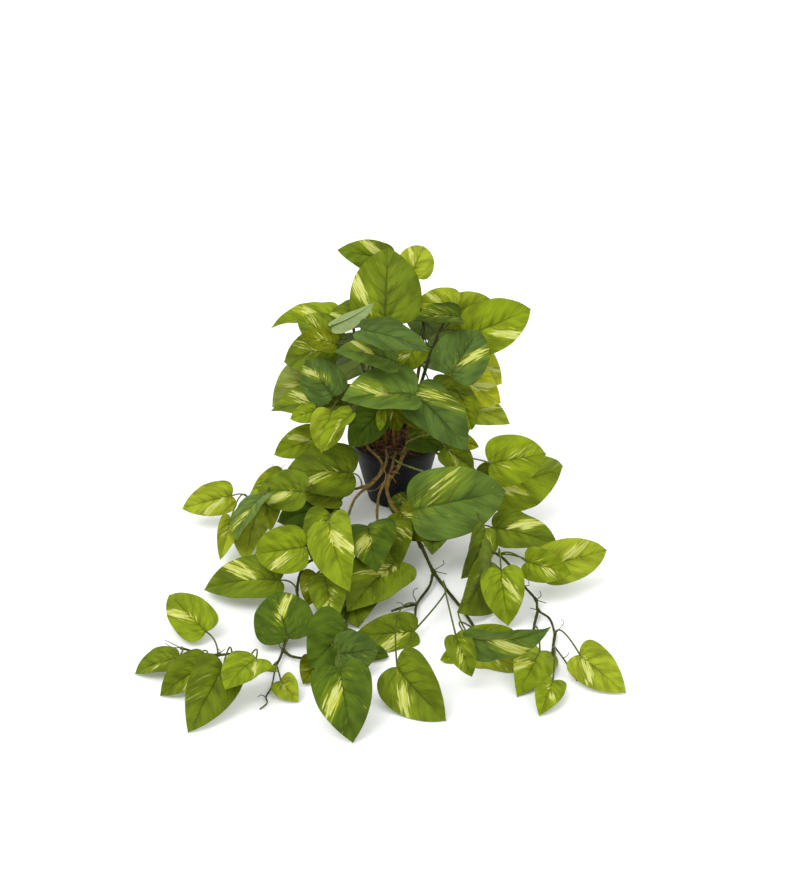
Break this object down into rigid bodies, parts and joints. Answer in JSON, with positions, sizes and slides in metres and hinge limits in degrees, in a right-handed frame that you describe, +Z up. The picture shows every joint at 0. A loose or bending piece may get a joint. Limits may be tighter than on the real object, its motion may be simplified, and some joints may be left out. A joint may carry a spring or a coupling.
{
  "type": "potted pothos plant",
  "caption": "Trailing potted pothos with variegated heart-shaped leaves, standing crown stems and vines that spread forward from a black nursery pot.",
  "frame": {"origin": "middle of the pot's base, on the surface that it stands on", "axes": "+Z up along the pot's axis; the trailing stems run towards -Y, the front of the picture; +X is the picture's right"},
  "size_m": [0.5851, 0.7309, 0.3706],
  "materials": {
    "pot": "satin moulded black plastic",
    "medium": "loose dark brown fibre",
    "leaf": "printed variegated leaf with a soft sheen and relief veins",
    "stem": "satin olive to brown moulded stem"
  },
  "bodies": {
    "root": {"pot": "pot", "growing_medium": "medium", "stem_crown_top": "leaf", "stem_crown_upper_left": "leaf", "stem_crown_left": "leaf", "stem_crown_right": "leaf", "stem_crown_front": "leaf", "stem_crown_lower_right": "leaf", "stem_trailing_upper_left": "leaf", "stem_trailing_front_left": "leaf", "stem_trailing_front_middle": "leaf", "stem_trailing_front_right": "leaf", "stem_trailing_right": "leaf", "stem_crown_back_left": "leaf", "stem_crown_back_right": "leaf"}
  },
  "joints": []
}
